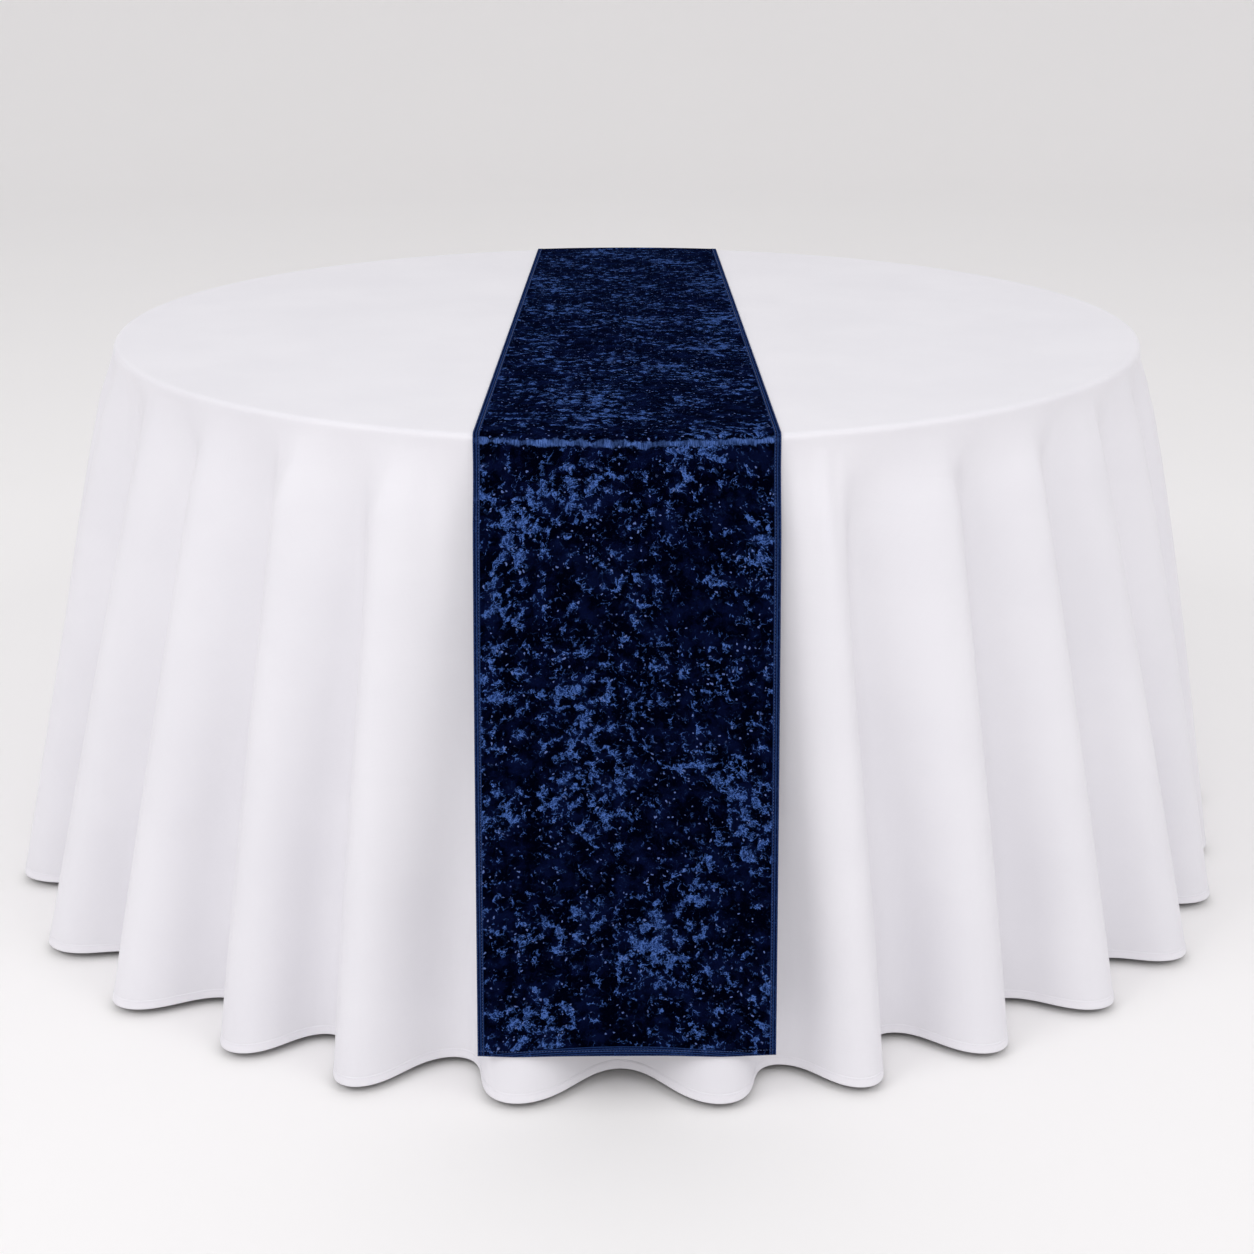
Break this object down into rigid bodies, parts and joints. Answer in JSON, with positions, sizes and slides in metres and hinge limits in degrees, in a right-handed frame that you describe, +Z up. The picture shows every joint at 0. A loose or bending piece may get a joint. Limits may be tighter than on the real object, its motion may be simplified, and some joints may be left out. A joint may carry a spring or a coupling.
{
  "type": "tablecloth on banquet table",
  "caption": "Round folding banquet table fully dressed in a white floor-length tablecloth that falls in deep even folds, with a navy crushed-velvet runner laid straight across it.",
  "frame": {"origin": "on the floor at the table's centre", "axes": "+Z up, the runner lies along Y and the side nearest the camera in the picture is -Y, the leg frames hinge about lines along Y at -X and +X"},
  "size_m": [1.8955, 1.8956, 0.7665],
  "materials": {
    "plywood": "satin clear-coated birch plywood",
    "edge_vinyl": "brown vinyl moulding",
    "foot_rubber": "moulded black rubber",
    "powder_coat": "grey powder coat",
    "zinc_steel": "zinc plated",
    "white_cloth": "matte white plain-weave polyester",
    "navy_velvet": "crushed navy velvet"
  },
  "bodies": {
    "table": {"edge_band": "edge_vinyl", "left_block_back": "plywood", "left_block_front": "plywood", "left_clevis_screws": "zinc_steel", "left_saddle_back": "zinc_steel", "left_saddle_front": "zinc_steel", "left_saddle_screws": "zinc_steel", "left_stay_clevis": "zinc_steel", "left_stay_pin": "zinc_steel", "right_block_back": "plywood", "right_block_front": "plywood", "right_block_middle": "plywood", "right_clevis_screws": "zinc_steel", "right_saddle_back": "zinc_steel", "right_saddle_front": "zinc_steel", "right_saddle_screws": "zinc_steel", "right_stay_clevis": "zinc_steel", "right_stay_pin": "zinc_steel", "table_top": "plywood"},
    "left_leg": {"left_foot_back": "foot_rubber", "left_foot_front": "foot_rubber", "left_leg_frame": "powder_coat", "left_stretcher": "powder_coat"},
    "right_leg": {"right_foot_back": "foot_rubber", "right_foot_front": "foot_rubber", "right_leg_frame": "powder_coat", "right_stretcher": "powder_coat"},
    "left_stay": {"left_stay": "zinc_steel"},
    "right_stay": {"right_stay": "zinc_steel"},
    "tablecloth": {"tablecloth_hem": "white_cloth", "tablecloth_panel": "white_cloth"},
    "runner": {"runner_end_hem_back": "navy_velvet", "runner_end_hem_front": "navy_velvet", "runner_side_hem_left": "navy_velvet", "runner_side_hem_right": "navy_velvet", "runner_velvet_panel": "navy_velvet"}
  },
  "joints": [
    {"name": "left_leg_fold", "type": "hinge", "parent": "table", "child": "left_leg", "pos_m": [-0.43, 0, 0.703], "axis": [0, -1, 0], "range_deg": [0, 90]},
    {"name": "left_stay_swing", "type": "hinge", "parent": "table", "child": "left_stay", "pos_m": [-0.13, 0, 0.731], "axis": [0, 1, 0], "range_deg": [0, 35]},
    {"name": "right_leg_fold", "type": "hinge", "parent": "table", "child": "right_leg", "pos_m": [0.43, 0, 0.669], "axis": [0, 1, 0], "range_deg": [0, 90]},
    {"name": "right_stay_swing", "type": "hinge", "parent": "table", "child": "right_stay", "pos_m": [0.13, 0, 0.697], "axis": [0, -1, 0], "range_deg": [0, 35]},
    {"name": "tablecloth_lift", "type": "slide", "parent": "table", "child": "tablecloth", "axis": [0, 0, 1], "range_m": [0, 0.8]},
    {"name": "runner_lift", "type": "slide", "parent": "tablecloth", "child": "runner", "axis": [0, 0, 1], "range_m": [0, 0.8]}
  ],
  "couplings": [
    {"joint": "left_stay_swing", "follows": "left_leg_fold", "ratio": 0.3888},
    {"joint": "right_stay_swing", "follows": "right_leg_fold", "ratio": 0.3888}
  ]
}
